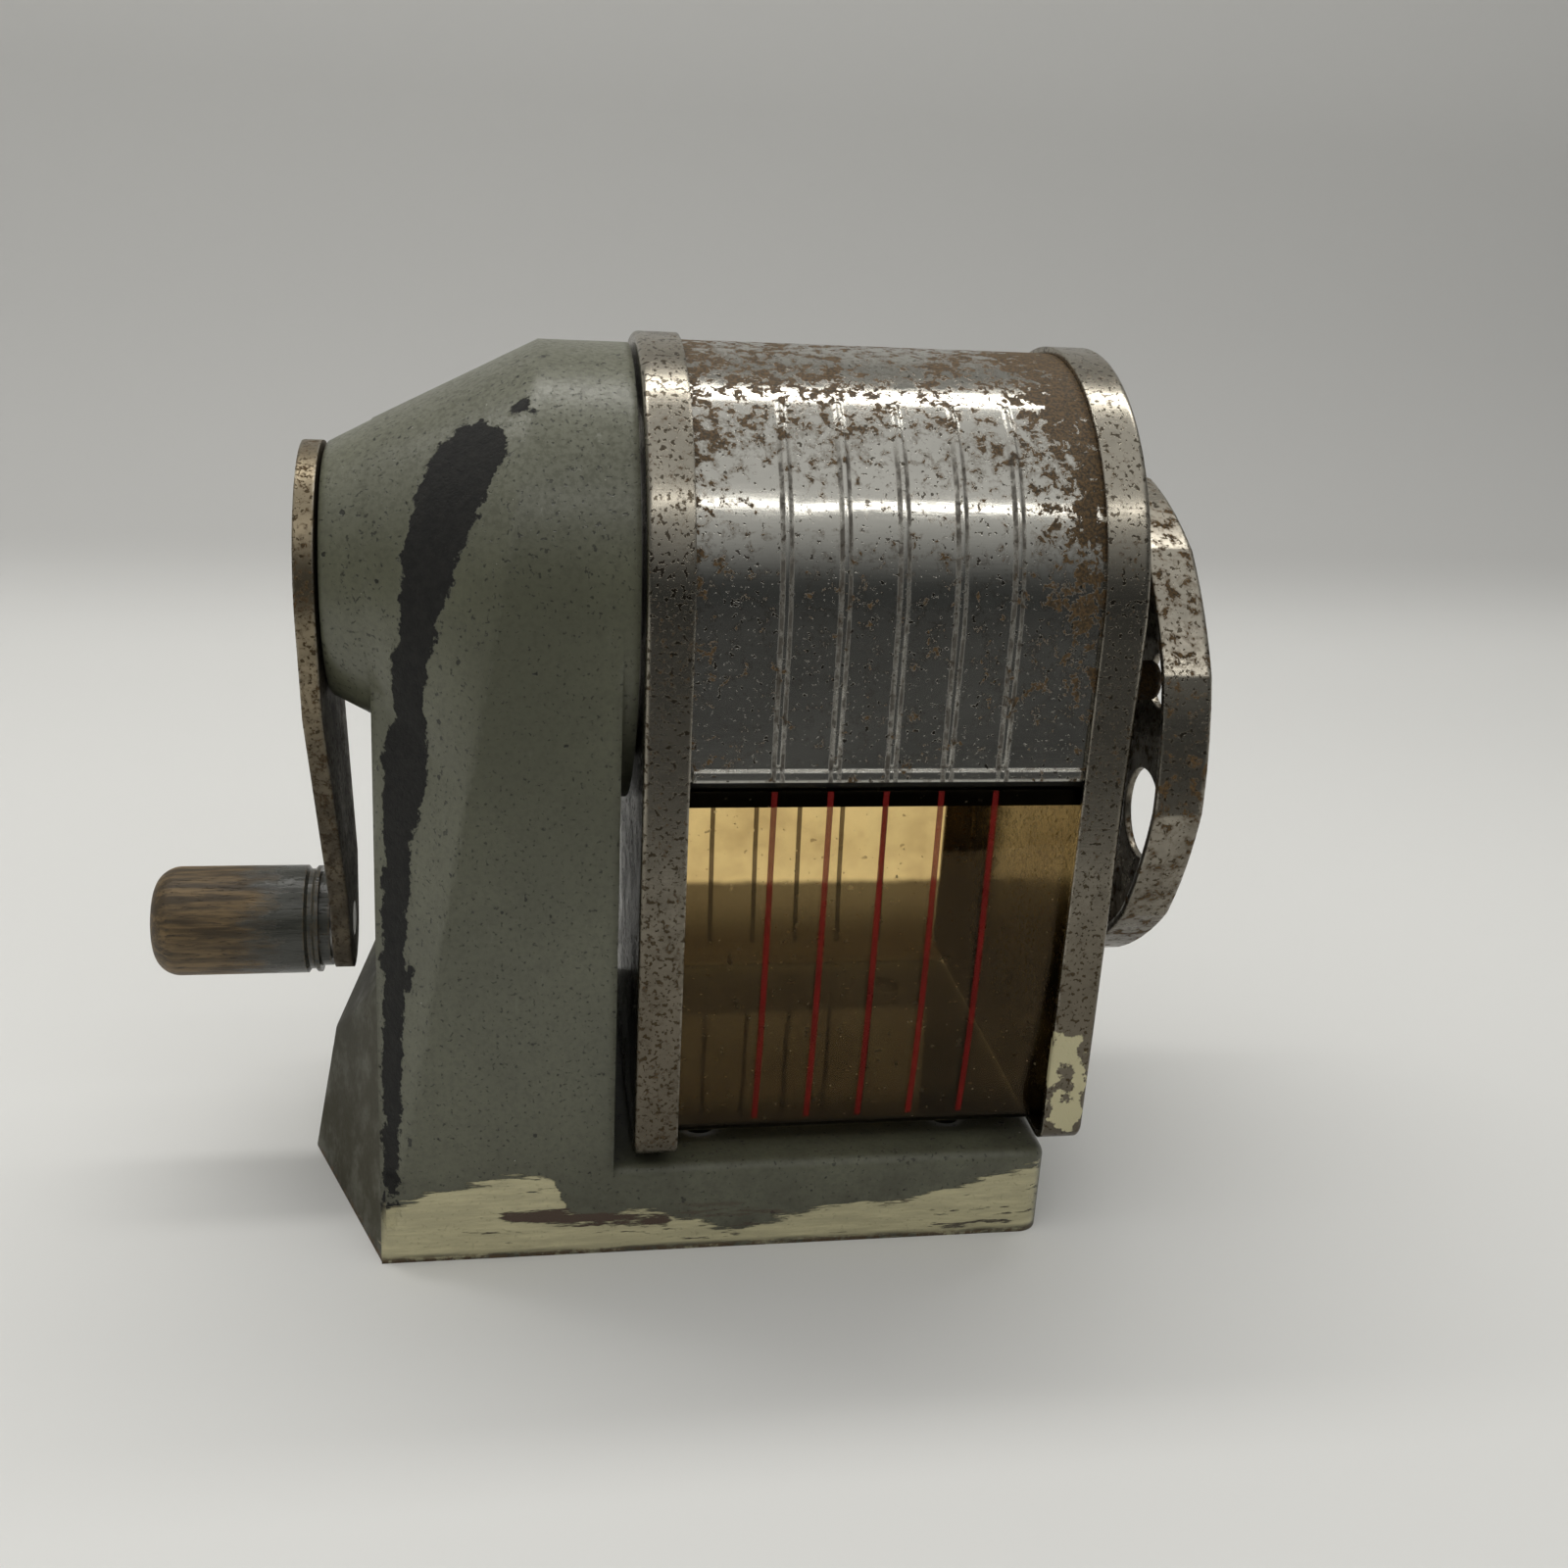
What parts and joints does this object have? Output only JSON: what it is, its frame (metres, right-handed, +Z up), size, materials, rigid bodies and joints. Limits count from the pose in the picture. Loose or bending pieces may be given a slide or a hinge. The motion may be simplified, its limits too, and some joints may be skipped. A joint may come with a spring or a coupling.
{
  "type": "hand-crank pencil sharpener",
  "caption": "Desk pencil sharpener with a cast pillar, side crank, planetary helical cutters, pull-off shavings bin with amber window and a pencil-size dial.",
  "frame": {"origin": "on the floor plane under the middle of the overall length and width", "axes": "+X along the crank shaft from the crank to the size dial, +Y across, +Z up"},
  "size_m": [0.1392, 0.0698, 0.1206],
  "materials": {
    "body_paint": "satin enamel, chipped and worn",
    "bronze": "turned bearing bronze",
    "plain_steel": "plain bright steel",
    "rusty_steel": "steel with brown rust",
    "cast_zinc": "as cast",
    "tool_steel": "milled and hardened",
    "knob_wood": "turned wood, worn dark paint",
    "plated_sheet": "plated pressed steel, pitted with rust",
    "amber_window": "clear amber plastic sheet"
  },
  "bodies": {
    "frame": {"housing": "body_paint", "shaft_bush": "bronze", "ring_gear": "plain_steel", "gear_screws": "plain_steel"},
    "crank": {"crank_arm": "rusty_steel", "crank_shaft": "plain_steel", "carrier_pin": "plain_steel", "thrust_washer": "plain_steel", "cutter_carrier": "cast_zinc", "cutter_pins": "plain_steel", "knob_pin": "rusty_steel", "knob_washer": "rusty_steel"},
    "handle": {"knob": "knob_wood"},
    "cutter_one": {"cutter_a": "tool_steel", "pinion_a": "tool_steel"},
    "cutter_two": {"cutter_b": "tool_steel", "pinion_b": "tool_steel"},
    "bin": {"rear_cap": "plated_sheet", "front_cap": "plated_sheet", "bin_shell": "plated_sheet", "window": "amber_window", "window_rails": "plain_steel", "pencil_guide": "plain_steel", "index_post": "rusty_steel", "dial_pivot": "plain_steel", "dial_washer": "plain_steel"},
    "selector": {"dial": "plated_sheet"}
  },
  "joints": [
    {"name": "crank_turn", "type": "hinge", "parent": "frame", "child": "crank", "pos_m": [0, 0, 0.0885], "axis": [1, 0, 0], "continuous": true},
    {"name": "knob_spin", "type": "hinge", "parent": "crank", "child": "handle", "pos_m": [-0.0696, 0, 0.0373], "axis": [1, 0, 0], "continuous": true},
    {"name": "cutter_one_spin", "type": "hinge", "parent": "crank", "child": "cutter_one", "pos_m": [-0.0353, 0, 0.0885], "axis": [0.9833, 0.1822, 0], "continuous": true},
    {"name": "cutter_two_spin", "type": "hinge", "parent": "crank", "child": "cutter_two", "pos_m": [-0.0353, 0, 0.0885], "axis": [0.9833, -0.1822, 0], "continuous": true},
    {"name": "bin_slide", "type": "slide", "parent": "frame", "child": "bin", "axis": [1, 0, 0], "range_m": [0, 0.055]},
    {"name": "dial_turn", "type": "hinge", "parent": "bin", "child": "selector", "pos_m": [0.06836, 0, 0.069], "axis": [1, 0, 0], "continuous": true}
  ],
  "couplings": [
    {"joint": "cutter_one_spin", "follows": "crank_turn", "ratio": -2.3333},
    {"joint": "cutter_two_spin", "follows": "crank_turn", "ratio": -2.3333}
  ]
}
